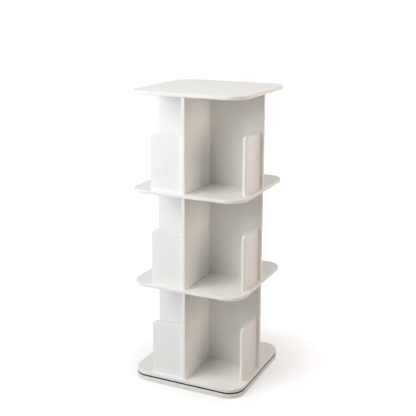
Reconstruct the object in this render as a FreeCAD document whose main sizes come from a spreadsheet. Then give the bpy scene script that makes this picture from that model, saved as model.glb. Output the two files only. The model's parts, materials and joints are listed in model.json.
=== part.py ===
import FreeCAD, Part
import os

import Sketcher
from FreeCAD import Placement, Rotation, Vector

# A square three-tier bookcase that turns on a ball-bearing turntable.
# The origin is on the floor under the axis of the turntable, +Z is up and -Y is the front.
# Four arms stand on each shelf. The arm along +X is described, and quarter turns give the others:
# a divider stands on the arm, and a guard stands against the -Y face of the divider's outer end.

doc = FreeCAD.newDocument("RevolvingBookcase")

# ---------------------------------------------------------------- driving dimensions

SIZES = (
    # name, value in millimetres (or a count), meaning
    ("board_side", 400, "side of the square boards"),
    ("board_corner", 57, "corner radius of the boards, seen from above"),
    ("board_thickness", 12, "thickness of the shelves and the top board"),
    ("board_round", 2, "rounding of the boards' rims"),
    ("board_overhang", 5, "board edge beyond the end of a divider"),
    ("base_thickness", 16, "thickness of the base board"),
    ("clear_height", 308, "height of a compartment"),
    ("divider_thickness", 12, "thickness of the dividers"),
    ("guard_thickness", 12, "thickness of the guards"),
    ("divider_round", 2.5, "rounding of the dividers' outer ends"),
    ("guard_width", 118, "width of a guard, from the divider's face to its free edge"),
    ("guard_height", 188, "height of a guard above its shelf"),
    ("guard_corner", 16, "radius of a guard's free top corner"),
    ("guard_setback", 11, "end of the divider beyond the outer face of its guard"),
    ("guard_round", 4, "rounding of a guard's free edges"),
    ("pad_diameter", 30, "diameter of a foot pad"),
    ("pad_thickness", 2, "thickness of a foot pad"),
    ("pad_inset", 45, "centre of a foot pad, in from the board's sides"),
    ("turntable_gap", 4, "open gap between the base board and the lower shelf"),
    ("race_radius", 110, "radius of the circle of ball centres"),
    ("ring_width", 14, "radial width of each turntable ring"),
    ("ring_height", 9, "height of each turntable ring"),
    ("ring_lift", 1, "inner ring above the floor of the recess, outer ring below the shelf"),
    ("ring_play", 2, "radial gap between the two rings, where the cage runs"),
    ("recess_clearance", 0.5, "outer ring to the wall of its recess"),
    ("ball_diameter", 6, "diameter of a bearing ball"),
    ("ball_count", 24, "number of bearing balls, a count"),
    ("race_clearance", 0.3, "ball to race, and cage to rings"),
    ("cage_height", 8.4, "height of the ball cage"),
    ("cage_clearance", 0.1, "ball to the wall of its hole in the cage"),
    ("screw_diameter", 4, "shank diameter of the countersunk screws"),
    ("screw_head", 8, "head diameter of the countersunk screws"),
    ("screw_tip", 4, "length of a screw's point"),
    ("socket_width", 3, "width across corners of the hexagon socket in a screw's head"),
    ("socket_depth", 1.6, "depth of the hexagon socket"),
    ("floor_screw_bite", 28, "floor screw inside the divider or guard on the shelf"),
    ("guard_screw_bite", 23, "guard screw inside the edge of its guard"),
    ("ring_screw_bite", 7, "turntable screw inside its board"),
    ("access_hole", 18, "diameter of the screwdriver hole in the base board"),
    ("dowel_diameter", 6, "diameter of the wooden dowels"),
    ("dowel_chamfer", 0.6, "chamfer at the ends of a dowel"),
    ("dowel_in_board", 8, "top dowel inside the board above"),
    ("dowel_in_divider", 22, "top dowel inside the divider"),
    ("cross_dowel_bite", 14, "cross dowel inside each half divider"),
    ("fastener_clearance", 0.1, "screw or dowel to the wall of its hole"),
    ("hole_end_gap", 0.5, "bottom of a blind hole beyond the end of its screw or dowel"),
    ("cap_diameter", 10, "diameter of a screw cap"),
    ("cap_thickness", 1.2, "height of a screw cap above the divider's face"),
    ("cap_round", 0.8, "rounding of a screw cap's rim"),
    ("cap_stem", 1.2, "stem of a screw cap inside the screw's socket"),
)

sheet = doc.addObject("Spreadsheet::Sheet", "Sizes")
for row, (name, number, meaning) in enumerate(SIZES, start=1):
    sheet.set(f"A{row}", meaning)
    sheet.set(f"B{row}", str(number))
    sheet.setAlias(f"B{row}", name)
doc.recompute()

TIERS = ("lower", "middle", "upper")
QUARTERS = {"right": 0, "rear": 90, "left": 180, "front": 270}  # turn of each arm about +Z, in degrees
UP = Vector(0, 0, 1)
FACING_DOWN = Rotation(Vector(1, 0, 0), 180)  # turns +Z down
FACING_BACK = Rotation(Vector(1, 0, 0), -90)  # turns +Z to +Y

# Places along an arm or up a panel, as a part of its length. The screws stand between the dowels.
DOWEL_STATIONS = (0.2, 0.8)
SCREW_STATIONS = (0.4, 0.6)
PANEL_HEIGHTS = (0.25, 0.75)
GUARD_FOOT = 0.6
RING_SCREW_COUNT = 4
SHELF_SCREW_ANGLE = 45  # degrees from an arm to the inner ring's first screw
FIRST_BALL_ANGLE = 90  # degrees
HEXAGON = 6  # sides of a screw's socket

ON_AXIS = 1e-9  # a sketch point nearer to an axis than this lies on it
SAME_PLACE = 1e-4  # mm, within which two places are one
LEAST_CUT = 1e-3  # mm3 that every cut or dressed edge changes at least

# ---------------------------------------------------------------- sizes worked out from the sheet

HALF_PANEL = "Sizes.divider_thickness / 2"
BACK_FACE = f"-{HALF_PANEL}"  # offset of a divider's +Y face from the XZ plane, whose normal is -Y
REACH = "(Sizes.board_side / 2 - Sizes.board_overhang)"  # axis to the outer end of a divider
GUARD_OUTER = f"({REACH} - Sizes.guard_setback)"  # axis to the outer face of a guard
GUARD_MIDDLE = f"({GUARD_OUTER} - Sizes.guard_thickness / 2)"
GUARD_EDGE = f"(-{HALF_PANEL} - Sizes.guard_width)"  # Y of a guard's free edge
GUARD_FOOT_PLACE = f"(-{HALF_PANEL} - {GUARD_FOOT} * Sizes.guard_width)"
SCREW_HOLE = "(Sizes.screw_diameter / 2 + Sizes.fastener_clearance)"
DOWEL_HOLE = "(Sizes.dowel_diameter / 2 + Sizes.fastener_clearance)"
HEAD_HEIGHT = "((Sizes.screw_head - Sizes.screw_diameter) / 2)"
TURNTABLE_HEIGHT = "(Sizes.ring_height + Sizes.ring_lift)"
RECESS_DEPTH = f"({TURNTABLE_HEIGHT} - Sizes.turntable_gap)"
BASE_TOP = "(Sizes.pad_thickness + Sizes.base_thickness)"
RECESS_FLOOR = f"({BASE_TOP} - {RECESS_DEPTH})"
RACE_HEIGHT = f"({TURNTABLE_HEIGHT} / 2)"  # ball centres above the floor of the recess
OUTER_RING_INSIDE = "(Sizes.race_radius + Sizes.ring_play / 2)"
OUTER_RING_OUTSIDE = f"({OUTER_RING_INSIDE} + Sizes.ring_width)"
INNER_RING_OUTSIDE = "(Sizes.race_radius - Sizes.ring_play / 2)"
INNER_RING_INSIDE = f"({INNER_RING_OUTSIDE} - Sizes.ring_width)"
CAGE_HALF_WALL = "(Sizes.ring_play / 2 - Sizes.race_clearance)"
BASE_SCREW_CIRCLE = f"(({OUTER_RING_OUTSIDE} + Sizes.race_radius + Sizes.ball_diameter / 2) / 2)"
SHELF_SCREW_CIRCLE = f"(({INNER_RING_INSIDE} + Sizes.race_radius - Sizes.ball_diameter / 2) / 2)"


def underside(tier):
    """Height of the underside of a tier's shelf; the tier above the last one is the top board."""
    return f"({BASE_TOP} + Sizes.turntable_gap + {tier} * (Sizes.board_thickness + Sizes.clear_height))"


def floor(tier):
    """Height of the upper face of a tier's shelf."""
    return f"({underside(tier)} + Sizes.board_thickness)"


def station(share):
    """Distance from the axis to a place along an arm, between the cross and the divider's end."""
    return f"({HALF_PANEL} + {share} * ({REACH} - {HALF_PANEL}))"


def value(expression):
    """The number that an expression of the sheet's sizes gives now."""
    return float(sheet.evalExpression(expression))


# ---------------------------------------------------------------- sketches and features

def origin_feature(body, role):
    return next(feature for feature in body.Origin.OriginFeatures if feature.Role == role)


def new_body(label, height="0", turn=0):
    """A body whose own origin stands at a height on the axis, turned about it."""
    body = doc.addObject("PartDesign::Body", label)
    body.Label = label
    body.Placement = Placement(Vector(), Rotation(UP, turn))
    body.setExpression("Placement.Base.z", height)
    return body


def new_sketch(body, plane, name, offset="0"):
    """A sketch on one of the body's origin planes, moved along the plane's normal."""
    sketch = body.newObject("Sketcher::SketchObject", f"{body.Label}_{name}")
    sketch.AttachmentSupport = (origin_feature(body, plane), [""])
    sketch.MapMode = "FlatFace"
    sketch.setExpression("AttachmentOffset.Base.z", offset)
    return sketch


def hold(sketch, constraint, expression):
    """Add a constraint and bind its size to the sheet."""
    index = sketch.addConstraint(constraint)
    sketch.setExpression(f"Constraints[{index}]", expression)


def pin_point(sketch, geometry, point, across, up):
    """Hold a point of the sketch at two signed distances from the sketch's origin."""
    for kind, axis, expression in (("DistanceX", -2, across), ("DistanceY", -1, up)):
        place = value(expression)
        if abs(place) < ON_AXIS:
            sketch.addConstraint(Sketcher.Constraint("PointOnObject", geometry, point, axis))
        else:
            hold(sketch, Sketcher.Constraint(kind, -1, 1, geometry, point, place), expression)


def draw_polygon(sketch, corners):
    """Straight lines from corner to corner and back to the first."""
    points = [Vector(value(across), value(up), 0) for across, up in corners]
    first = sketch.GeometryCount
    for start, end in zip(points, points[1:] + points[:1]):
        sketch.addGeometry(Part.LineSegment(start, end), False)
    last = first + len(points) - 1
    for line in range(first, last + 1):
        following = first if line == last else line + 1
        sketch.addConstraint(Sketcher.Constraint("Coincident", line, 2, following, 1))
    for line, (across, up) in enumerate(corners, start=first):
        pin_point(sketch, line, 1, across, up)


def draw_rectangle(sketch, low_across, high_across, low_up, high_up):
    """A rectangle whose four sides each lie at an expression's value."""
    low = Vector(value(low_across), value(low_up), 0)
    high = Vector(value(high_across), value(high_up), 0)
    corners = (low, Vector(high.x, low.y, 0), high, Vector(low.x, high.y, 0))
    first = sketch.GeometryCount
    for start, end in zip(corners, corners[1:] + corners[:1]):
        sketch.addGeometry(Part.LineSegment(start, end), False)
    for side in range(4):
        line = first + side
        sketch.addConstraint(Sketcher.Constraint("Coincident", line, 2, first + (side + 1) % 4, 1))
        sketch.addConstraint(Sketcher.Constraint("Vertical" if side % 2 else "Horizontal", line))
    pin_point(sketch, first, 1, low_across, low_up)
    pin_point(sketch, first + 2, 1, high_across, high_up)


def draw_circle(sketch, across, up, radius):
    centre = Vector(value(across), value(up), 0)
    circle = sketch.addGeometry(Part.Circle(centre, UP, value(radius)), False)
    pin_point(sketch, circle, 3, across, up)
    hold(sketch, Sketcher.Constraint("Radius", circle, value(radius)), radius)


def add_pad(body, sketch, length, backwards=False):
    """Solid from the sketch, along the plane's normal or backwards."""
    pad = body.newObject("PartDesign::Pad", f"{sketch.Label}_pad")
    pad.Profile = sketch
    pad.Reversed = backwards
    pad.setExpression("Length", length)
    doc.recompute()
    return pad


def add_turned(body, kind, sketch):
    """A full revolution or groove of the sketch about the body's own Z axis."""
    turned = body.newObject(f"PartDesign::{kind}", f"{sketch.Label}_{kind.lower()}")
    turned.Profile = sketch
    turned.ReferenceAxis = (sketch, ["V_Axis"])
    turned.Angle = 360
    doc.recompute()
    return turned


def add_copies(body, feature, copies):
    """Repeat a cut evenly about the body's own Z axis."""
    pattern = body.newObject("PartDesign::PolarPattern", f"{feature.Label}_pattern")
    pattern.Originals = [feature]
    pattern.Axis = (origin_feature(body, "Z_Axis"), [""])
    pattern.Angle = 360
    pattern.Occurrences = copies
    body.Tip = pattern
    doc.recompute()


def drill(body, name, plane, holes, radius, depth, offset="0", forwards=False, copies=1):
    """Round holes from a plane, against its normal or forwards along it.

    A depth of None goes right through.
    """
    sketch = new_sketch(body, plane, name, offset)
    for across, up in holes:
        draw_circle(sketch, across, up, radius)
    cut = body.newObject("PartDesign::Pocket", f"{sketch.Label}_pocket")
    cut.Profile = sketch
    cut.Reversed = forwards
    if depth is None:
        cut.Type = "ThroughAll"
    else:
        cut.setExpression("Length", depth)
    doc.recompute()
    if copies > 1:
        add_copies(body, cut, copies)


def pick_edges(body, wanted):
    """The names of the edges of the body's last feature that a test picks."""
    edges = enumerate(body.Tip.Shape.Edges, start=1)
    return [f"Edge{number}" for number, edge in edges if wanted(edge)]


def dress(body, kind, size, wanted, size_name):
    """Fillet or chamfer the edges that a test picks."""
    before = body.Tip
    names = pick_edges(body, wanted)
    feature = body.newObject(f"PartDesign::{kind}", f"{body.Label}_{kind.lower()}")
    feature.Base = (before, names)
    feature.setExpression(size_name, size)
    doc.recompute()


def add_fillet(body, radius, wanted):
    dress(body, "Fillet", radius, wanted, "Radius")


def add_chamfer(body, size, wanted):
    dress(body, "Chamfer", size, wanted, "Size")


def lies_at(edge, axis, place):
    """Whether a whole edge lies in the plane where one coordinate has a value."""
    box = edge.BoundBox
    low, high = {"x": (box.XMin, box.XMax), "y": (box.YMin, box.YMax), "z": (box.ZMin, box.ZMax)}[axis]
    return abs(low - place) < SAME_PLACE and abs(high - place) < SAME_PLACE


def is_upright(edge):
    box = edge.BoundBox
    return box.XLength < SAME_PLACE and box.YLength < SAME_PLACE


def is_hole_rim(edge, radius):
    return isinstance(edge.Curve, Part.Circle) and abs(edge.Curve.Radius - value(radius)) < SAME_PLACE


def countersink(body, axis, place, side=None):
    """Widen the screw holes' rims in one plane for the screws' heads; side picks one half of the body."""
    def wanted(edge):
        on_side = side is None or edge.CenterOfMass.x * side > 0
        return is_hole_rim(edge, SCREW_HOLE) and lies_at(edge, axis, place) and on_side
    add_chamfer(body, HEAD_HEIGHT, wanted)


# ---------------------------------------------------------------- boards

def rounded_board(label, height, thickness):
    """A square board with round corners and softened rims; its underside is the body's XY plane."""
    body = new_body(label, height)
    outline = new_sketch(body, "XY_Plane", "outline")
    half = "Sizes.board_side / 2"
    draw_rectangle(outline, f"-{half}", half, f"-{half}", half)
    add_pad(body, outline, thickness)
    add_fillet(body, "Sizes.board_corner", is_upright)
    top = value(thickness)
    add_fillet(body, "Sizes.board_round", lambda edge: lies_at(edge, "z", 0) or lies_at(edge, "z", top))
    return body


def on_circle(radius, angle):
    """A place on a circle about the axis."""
    return (f"{radius} * cos({angle})", f"{radius} * sin({angle})")


def drill_floor_screws(body):
    """Screw holes through a shelf, under each divider and guard, countersunk from below."""
    holes = [(station(share), "0") for share in SCREW_STATIONS]
    holes.append((GUARD_MIDDLE, GUARD_FOOT_PLACE))
    drill(body, "floor_screws", "XY_Plane", holes, SCREW_HOLE, None, forwards=True, copies=len(QUARTERS))
    countersink(body, "z", 0)


def drill_dowels_below(body):
    """Blind holes in a board's underside for the top dowels of the tier below."""
    holes = [(station(share), "0") for share in DOWEL_STATIONS]
    depth = "Sizes.dowel_in_board + Sizes.hole_end_gap"
    drill(body, "dowels", "XY_Plane", holes, DOWEL_HOLE, depth, forwards=True, copies=len(QUARTERS))


def make_base_board():
    """The board on the floor, with a round recess for the turntable and a hole to reach its upper screws."""
    body = rounded_board("base_board", "Sizes.pad_thickness", "Sizes.base_thickness")
    recess_radius = f"{OUTER_RING_OUTSIDE} + Sizes.recess_clearance"
    drill(body, "recess", "XY_Plane", [("0", "0")], recess_radius, RECESS_DEPTH, "Sizes.base_thickness")
    depth = "Sizes.ring_screw_bite + Sizes.hole_end_gap"
    level = f"Sizes.base_thickness - {RECESS_DEPTH}"
    pilot = [on_circle(BASE_SCREW_CIRCLE, 0)]
    drill(body, "ring_screws", "XY_Plane", pilot, SCREW_HOLE, depth, level, copies=RING_SCREW_COUNT)
    access = [on_circle(SHELF_SCREW_CIRCLE, SHELF_SCREW_ANGLE)]
    drill(body, "access_hole", "XY_Plane", access, "Sizes.access_hole / 2", None, forwards=True)
    return body


def make_lower_shelf():
    """The shelf that rides on the turntable."""
    body = rounded_board("lower_shelf", underside(0), "Sizes.board_thickness")
    drill_floor_screws(body)
    pilot = [on_circle(SHELF_SCREW_CIRCLE, SHELF_SCREW_ANGLE)]
    depth = "Sizes.ring_screw_bite + Sizes.hole_end_gap"
    drill(body, "ring_screws", "XY_Plane", pilot, SCREW_HOLE, depth, forwards=True, copies=RING_SCREW_COUNT)
    return body


def make_upper_shelf(tier):
    """The middle or upper shelf, between two tiers of dividers."""
    body = rounded_board(f"{TIERS[tier]}_shelf", underside(tier), "Sizes.board_thickness")
    drill_floor_screws(body)
    drill_dowels_below(body)
    return body


def make_top_board():
    body = rounded_board("top_board", underside(len(TIERS)), "Sizes.board_thickness")
    drill_dowels_below(body)
    return body


# ---------------------------------------------------------------- dividers and guards

def make_divider(label, tier, turn, arms):
    """An upright panel along the +X arm, or right through the cross when it has two arms."""
    body = new_body(label, floor(tier), turn)
    outline = new_sketch(body, "XY_Plane", "outline")
    inner_end = HALF_PANEL if arms == 1 else f"-{REACH}"
    draw_rectangle(outline, inner_end, REACH, f"-{HALF_PANEL}", HALF_PANEL)
    add_pad(body, outline, "Sizes.clear_height")
    free_end = value(REACH)
    add_fillet(
        body, "Sizes.divider_round",
        lambda edge: is_upright(edge) and abs(abs(edge.CenterOfMass.x) - free_end) < SAME_PLACE,
    )
    drill_divider_edges(body, arms)
    drill_cross_dowels(body, arms)
    drill_guard_screws(body, arms)
    return body


def drill_divider_edges(body, arms):
    """Blind holes in a divider's lower edge for floor screws and in its upper edge for top dowels."""
    screws = [(station(share), "0") for share in SCREW_STATIONS]
    bite = "Sizes.floor_screw_bite + Sizes.hole_end_gap"
    drill(body, "floor_screws", "XY_Plane", screws, SCREW_HOLE, bite, forwards=True, copies=arms)
    dowels = [(station(share), "0") for share in DOWEL_STATIONS]
    bite = "Sizes.dowel_in_divider + Sizes.hole_end_gap"
    drill(body, "top_dowels", "XY_Plane", dowels, DOWEL_HOLE, bite, "Sizes.clear_height", copies=arms)


def drill_cross_dowels(body, arms):
    """Holes at the cross: through the long divider's faces, or blind in a half divider's inner end."""
    holes = [("0", f"{share} * Sizes.clear_height") for share in PANEL_HEIGHTS]
    if arms == 2:
        drill(body, "cross_dowels", "XZ_Plane", holes, DOWEL_HOLE, None, BACK_FACE, forwards=True)
    else:
        bite = "Sizes.cross_dowel_bite + Sizes.hole_end_gap"
        drill(body, "cross_dowels", "YZ_Plane", holes, DOWEL_HOLE, bite, HALF_PANEL, forwards=True)


def drill_guard_screws(body, arms):
    """Holes through a divider into its guard, countersunk on the face away from the guard."""
    holes = [(GUARD_MIDDLE, f"{share} * Sizes.guard_height") for share in PANEL_HEIGHTS]
    drill(body, "guard_screws", "XZ_Plane", holes, SCREW_HOLE, None, BACK_FACE, forwards=True, copies=arms)
    face = value(HALF_PANEL)
    countersink(body, "y", face, side=1)
    if arms == 2:
        countersink(body, "y", -face, side=-1)


def make_guard(label, tier, turn):
    """A low board on edge across the outer end of a compartment, its free top corner round."""
    body = new_body(label, floor(tier), turn)
    outline = new_sketch(body, "YZ_Plane", "outline", f"{GUARD_OUTER} - Sizes.guard_thickness")
    draw_rectangle(outline, GUARD_EDGE, f"-{HALF_PANEL}", "0", "Sizes.guard_height")
    add_pad(body, outline, "Sizes.guard_thickness")
    free_edge = value(GUARD_EDGE)
    top = value("Sizes.guard_height")
    add_fillet(
        body, "Sizes.guard_corner",
        lambda edge: lies_at(edge, "y", free_edge) and lies_at(edge, "z", top),
    )
    outer = value(GUARD_OUTER)
    inner = outer - value("Sizes.guard_thickness")
    joint = -value(HALF_PANEL)
    add_fillet(
        body, "Sizes.guard_round",
        lambda edge: (lies_at(edge, "x", outer) or lies_at(edge, "x", inner))
        and not lies_at(edge, "z", 0) and not lies_at(edge, "y", joint),
    )
    foot = [(GUARD_MIDDLE, GUARD_FOOT_PLACE)]
    bite = "Sizes.floor_screw_bite + Sizes.hole_end_gap"
    drill(body, "floor_screw", "XY_Plane", foot, SCREW_HOLE, bite, forwards=True)
    holes = [(GUARD_MIDDLE, f"{share} * Sizes.guard_height") for share in PANEL_HEIGHTS]
    bite = "Sizes.guard_screw_bite + Sizes.hole_end_gap"
    drill(body, "side_screws", "XZ_Plane", holes, SCREW_HOLE, bite, HALF_PANEL, forwards=True)
    return body


# ---------------------------------------------------------------- turntable

def make_ring(label, height, inside, outside, race_level, screw_circle, screw_angle, head_level):
    """A flat ring with half of the ball race in one wall and countersunk holes for its screws."""
    body = new_body(label, height)
    section = new_sketch(body, "XZ_Plane", "section")
    draw_rectangle(section, inside, outside, "0", "Sizes.ring_height")
    add_turned(body, "Revolution", section)
    race = new_sketch(body, "XZ_Plane", "race")
    draw_circle(race, "Sizes.race_radius", race_level, "Sizes.ball_diameter / 2 + Sizes.race_clearance")
    add_turned(body, "Groove", race)
    hole = [on_circle(screw_circle, screw_angle)]
    drill(body, "screws", "XY_Plane", hole, SCREW_HOLE, None, forwards=True, copies=RING_SCREW_COUNT)
    countersink(body, "z", value(head_level))
    return body


def make_cage():
    """A thin band with a round hole for each ball."""
    body = new_body("ball_cage", f"{RECESS_FLOOR} + {RACE_HEIGHT} - Sizes.cage_height / 2")
    section = new_sketch(body, "XZ_Plane", "section")
    inside = f"Sizes.race_radius - {CAGE_HALF_WALL}"
    outside = f"Sizes.race_radius + {CAGE_HALF_WALL}"
    draw_rectangle(section, inside, outside, "0", "Sizes.cage_height")
    add_turned(body, "Revolution", section)
    hole_radius = "Sizes.ball_diameter / 2 + Sizes.cage_clearance"
    middle = [("0", "Sizes.cage_height / 2")]
    balls = round(value("Sizes.ball_count"))
    drill(body, "balls", "XZ_Plane", middle, hole_radius, None, copies=balls)
    return body


# ---------------------------------------------------------------- pieces that are used many times

def make_screw(label, bite):
    """A countersunk screw, its head's flat face on the XY plane and its point down."""
    body = new_body(label)
    length = f"({bite})"
    shank = "Sizes.screw_diameter / 2"
    profile = new_sketch(body, "XZ_Plane", "profile")
    draw_polygon(profile, (
        ("0", "0"),
        ("Sizes.screw_head / 2", "0"),
        (shank, f"-{HEAD_HEIGHT}"),
        (shank, f"-({length} - Sizes.screw_tip)"),
        ("0", f"-{length}"),
    ))
    add_turned(body, "Revolution", profile)
    socket = new_sketch(body, "XY_Plane", "socket")
    radius = "Sizes.socket_width / 2"
    draw_polygon(socket, [on_circle(radius, 360 // HEXAGON * corner) for corner in range(HEXAGON)])
    cut = body.newObject("PartDesign::Pocket", f"{label}_socket_pocket")
    cut.Profile = socket
    cut.setExpression("Length", "Sizes.socket_depth")
    doc.recompute()
    return body


def make_dowel(label, length):
    """A round wooden pin that stands on the XY plane."""
    body = new_body(label)
    section = new_sketch(body, "XY_Plane", "section")
    draw_circle(section, "0", "0", "Sizes.dowel_diameter / 2")
    add_pad(body, section, length)
    add_chamfer(body, "Sizes.dowel_chamfer", lambda edge: is_hole_rim(edge, "Sizes.dowel_diameter / 2"))
    return body


def make_cap():
    """A low round cap that lies on the XY plane, with a stem down into a screw's socket."""
    body = new_body("cap_pattern")
    disc = new_sketch(body, "XY_Plane", "disc")
    draw_circle(disc, "0", "0", "Sizes.cap_diameter / 2")
    add_pad(body, disc, "Sizes.cap_thickness")
    top = value("Sizes.cap_thickness")
    add_fillet(body, "Sizes.cap_round", lambda edge: lies_at(edge, "z", top))
    stem = new_sketch(body, "XY_Plane", "stem")
    across_flats = f"Sizes.socket_width / 2 * cos({180 // HEXAGON})"
    draw_circle(stem, "0", "0", f"{across_flats} - Sizes.fastener_clearance")
    add_pad(body, stem, "Sizes.cap_stem", backwards=True)
    return body


def make_ball():
    ball = doc.addObject("Part::Sphere", "ball_pattern")
    ball.setExpression("Radius", "Sizes.ball_diameter / 2")
    doc.recompute()
    return ball


def make_pad():
    pad = doc.addObject("Part::Cylinder", "pad_pattern")
    pad.setExpression("Radius", "Sizes.pad_diameter / 2")
    pad.setExpression("Height", "Sizes.pad_thickness")
    doc.recompute()
    return pad


def around(places, tilt=Rotation(), count=len(QUARTERS)):
    """Placements about the axis: each place is repeated by equal turns, after its own tilt."""
    placements = []
    for number in range(count):
        turn = Placement(Vector(), Rotation(UP, 360 * number / count))
        for place in places:
            placements.append(turn.multiply(Placement(place, tilt)))
    return placements


def make_group(label, pattern, placements):
    """One node of identical separate solids, copied from a pattern piece."""
    solids = []
    for placement in placements:
        solid = pattern.Shape.copy()
        solid.Placement = placement
        solids.append(solid)
    group = doc.addObject("Part::Feature", label)
    group.Label = label
    group.Shape = Part.Compound(solids)
    group.Placement = Placement()
    return group


# ---------------------------------------------------------------- the whole bookcase

def place_on_circle(radius, angle, height):
    """A point at a height on a circle about the axis."""
    across, along = on_circle(radius, angle)
    return Vector(value(across), value(along), value(height))


def make_turntable(ring_screw, ball):
    """The two rings, the balls in their cage, and the screws that hold the rings to their boards."""
    outer_top = f"{RECESS_FLOOR} + Sizes.ring_height"
    inner_bottom = f"{RECESS_FLOOR} + Sizes.ring_lift"
    race_middle = f"{RECESS_FLOOR} + {RACE_HEIGHT}"
    base_screw = place_on_circle(BASE_SCREW_CIRCLE, 0, outer_top)
    shelf_screw = place_on_circle(SHELF_SCREW_CIRCLE, SHELF_SCREW_ANGLE, inner_bottom)
    first_ball = place_on_circle("Sizes.race_radius", FIRST_BALL_ANGLE, race_middle)
    balls = round(value("Sizes.ball_count"))
    return [
        make_ring(
            "turntable_outer_ring", RECESS_FLOOR, OUTER_RING_INSIDE, OUTER_RING_OUTSIDE,
            RACE_HEIGHT, BASE_SCREW_CIRCLE, 0, "Sizes.ring_height",
        ),
        make_ring(
            "turntable_inner_ring", inner_bottom, INNER_RING_INSIDE, INNER_RING_OUTSIDE,
            f"{RACE_HEIGHT} - Sizes.ring_lift", SHELF_SCREW_CIRCLE, SHELF_SCREW_ANGLE, "0",
        ),
        make_cage(),
        make_group("bearing_balls", ball, around([first_ball], count=balls)),
        make_group("turntable_base_screws", ring_screw, around([base_screw], count=RING_SCREW_COUNT)),
        make_group(
            "turntable_shelf_screws", ring_screw,
            around([shelf_screw], FACING_DOWN, count=RING_SCREW_COUNT),
        ),
    ]


def make_tier_fasteners(tier, floor_screw, guard_screw, top_dowel, cross_dowel, cap):
    """The screws, caps and dowels of one tier, each kind as one group."""
    name = TIERS[tier]
    below = value(underside(tier))
    standing = value(floor(tier))
    ceiling = value(underside(tier + 1))
    foot = Vector(value(GUARD_MIDDLE), value(GUARD_FOOT_PLACE), below)
    screws = [Vector(value(station(share)), 0, below) for share in SCREW_STATIONS] + [foot]
    dowel_start = ceiling - value("Sizes.dowel_in_divider")
    dowels = [Vector(value(station(share)), 0, dowel_start) for share in DOWEL_STATIONS]
    guard_heights = [standing + share * value("Sizes.guard_height") for share in PANEL_HEIGHTS]
    heads = [Vector(value(GUARD_MIDDLE), value(HALF_PANEL), height) for height in guard_heights]
    crossing_start = -value(f"{HALF_PANEL} + Sizes.cross_dowel_bite")
    crossing_heights = [standing + share * value("Sizes.clear_height") for share in PANEL_HEIGHTS]
    crossings = [Vector(0, crossing_start, height) for height in crossing_heights]
    return [
        make_group(f"{name}_floor_screws", floor_screw, around(screws, FACING_DOWN)),
        make_group(f"{name}_guard_screws", guard_screw, around(heads, FACING_BACK)),
        make_group(f"{name}_screw_caps", cap, around(heads, FACING_BACK)),
        make_group(f"{name}_top_dowels", top_dowel, around(dowels)),
        make_group(f"{name}_cross_dowels", cross_dowel, around(crossings, FACING_BACK, count=1)),
    ]


def make_bookcase():
    """Every piece of the bookcase, as a list of objects that each become one node."""
    floor_screw = make_screw("floor_screw_pattern", "Sizes.board_thickness + Sizes.floor_screw_bite")
    guard_screw = make_screw("guard_screw_pattern", "Sizes.divider_thickness + Sizes.guard_screw_bite")
    ring_screw = make_screw("ring_screw_pattern", "Sizes.ring_height + Sizes.ring_screw_bite")
    top_dowel = make_dowel("top_dowel_pattern", "Sizes.dowel_in_board + Sizes.dowel_in_divider")
    cross_dowel = make_dowel(
        "cross_dowel_pattern", "Sizes.divider_thickness + 2 * Sizes.cross_dowel_bite"
    )
    cap = make_cap()
    pad_place = value("Sizes.board_side / 2 - Sizes.pad_inset")

    nodes = [
        make_group("foot_pads", make_pad(), around([Vector(pad_place, pad_place, 0)])),
        make_base_board(),
    ]
    nodes += make_turntable(ring_screw, make_ball())
    nodes += [make_lower_shelf(), make_upper_shelf(1), make_upper_shelf(2), make_top_board()]
    for tier, name in enumerate(TIERS):
        nodes.append(make_divider(f"{name}_long_divider", tier, QUARTERS["right"], arms=2))
        nodes.append(make_divider(f"{name}_rear_divider", tier, QUARTERS["rear"], arms=1))
        nodes.append(make_divider(f"{name}_front_divider", tier, QUARTERS["front"], arms=1))
        for side, turn in QUARTERS.items():
            nodes.append(make_guard(f"{name}_{side}_guard", tier, turn))
        nodes += make_tier_fasteners(tier, floor_screw, guard_screw, top_dowel, cross_dowel, cap)
    return nodes


def check_document():
    """Stop if an object failed, or if a cut or a dressed edge changed nothing."""
    for item in doc.Objects:
        if "Invalid" in item.State or "Error" in item.State:
            raise RuntimeError(f"{item.Label} failed: {item.State}")
    for body in doc.findObjects("PartDesign::Body"):
        solids = [item for item in body.Group if hasattr(item, "Shape") and item.Shape.Solids]
        for before, after in zip(solids, solids[1:]):
            if abs(before.Shape.Volume - after.Shape.Volume) < LEAST_CUT:
                raise RuntimeError(f"{after.Label} changed nothing")


def export_nodes(nodes):
    """Write each node to its own STEP file."""
    os.makedirs("parts", exist_ok=True)
    for node in nodes:
        shape = node.Shape
        if shape.isNull() or not shape.isValid() or not shape.Solids:
            raise RuntimeError(f"{node.Label} has no valid solid")
        shape.exportStep(f"parts/{node.Label}.step")
        print(f"{node.Label}: {len(shape.Solids)} solids, {shape.Volume / 1000:.1f} cm3")


bookcase = make_bookcase()
doc.recompute()
check_document()
export_nodes(bookcase)
print(f"{len(bookcase)} nodes")
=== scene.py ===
# %% [markdown]
# # A revolving bookcase
# The bookcase is three open tiers of white board on a ball-bearing turntable. The fixed frame,
# which says where each piece is and how it moves, is loaded first. Each step then makes one kind
# of piece at its real size, gives it a finish, and lets it ride on the body that carries it.

# %% Load the frame
import json
import math

import bmesh
import bpy
from mathutils import Matrix, Quaternion, Vector


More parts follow.
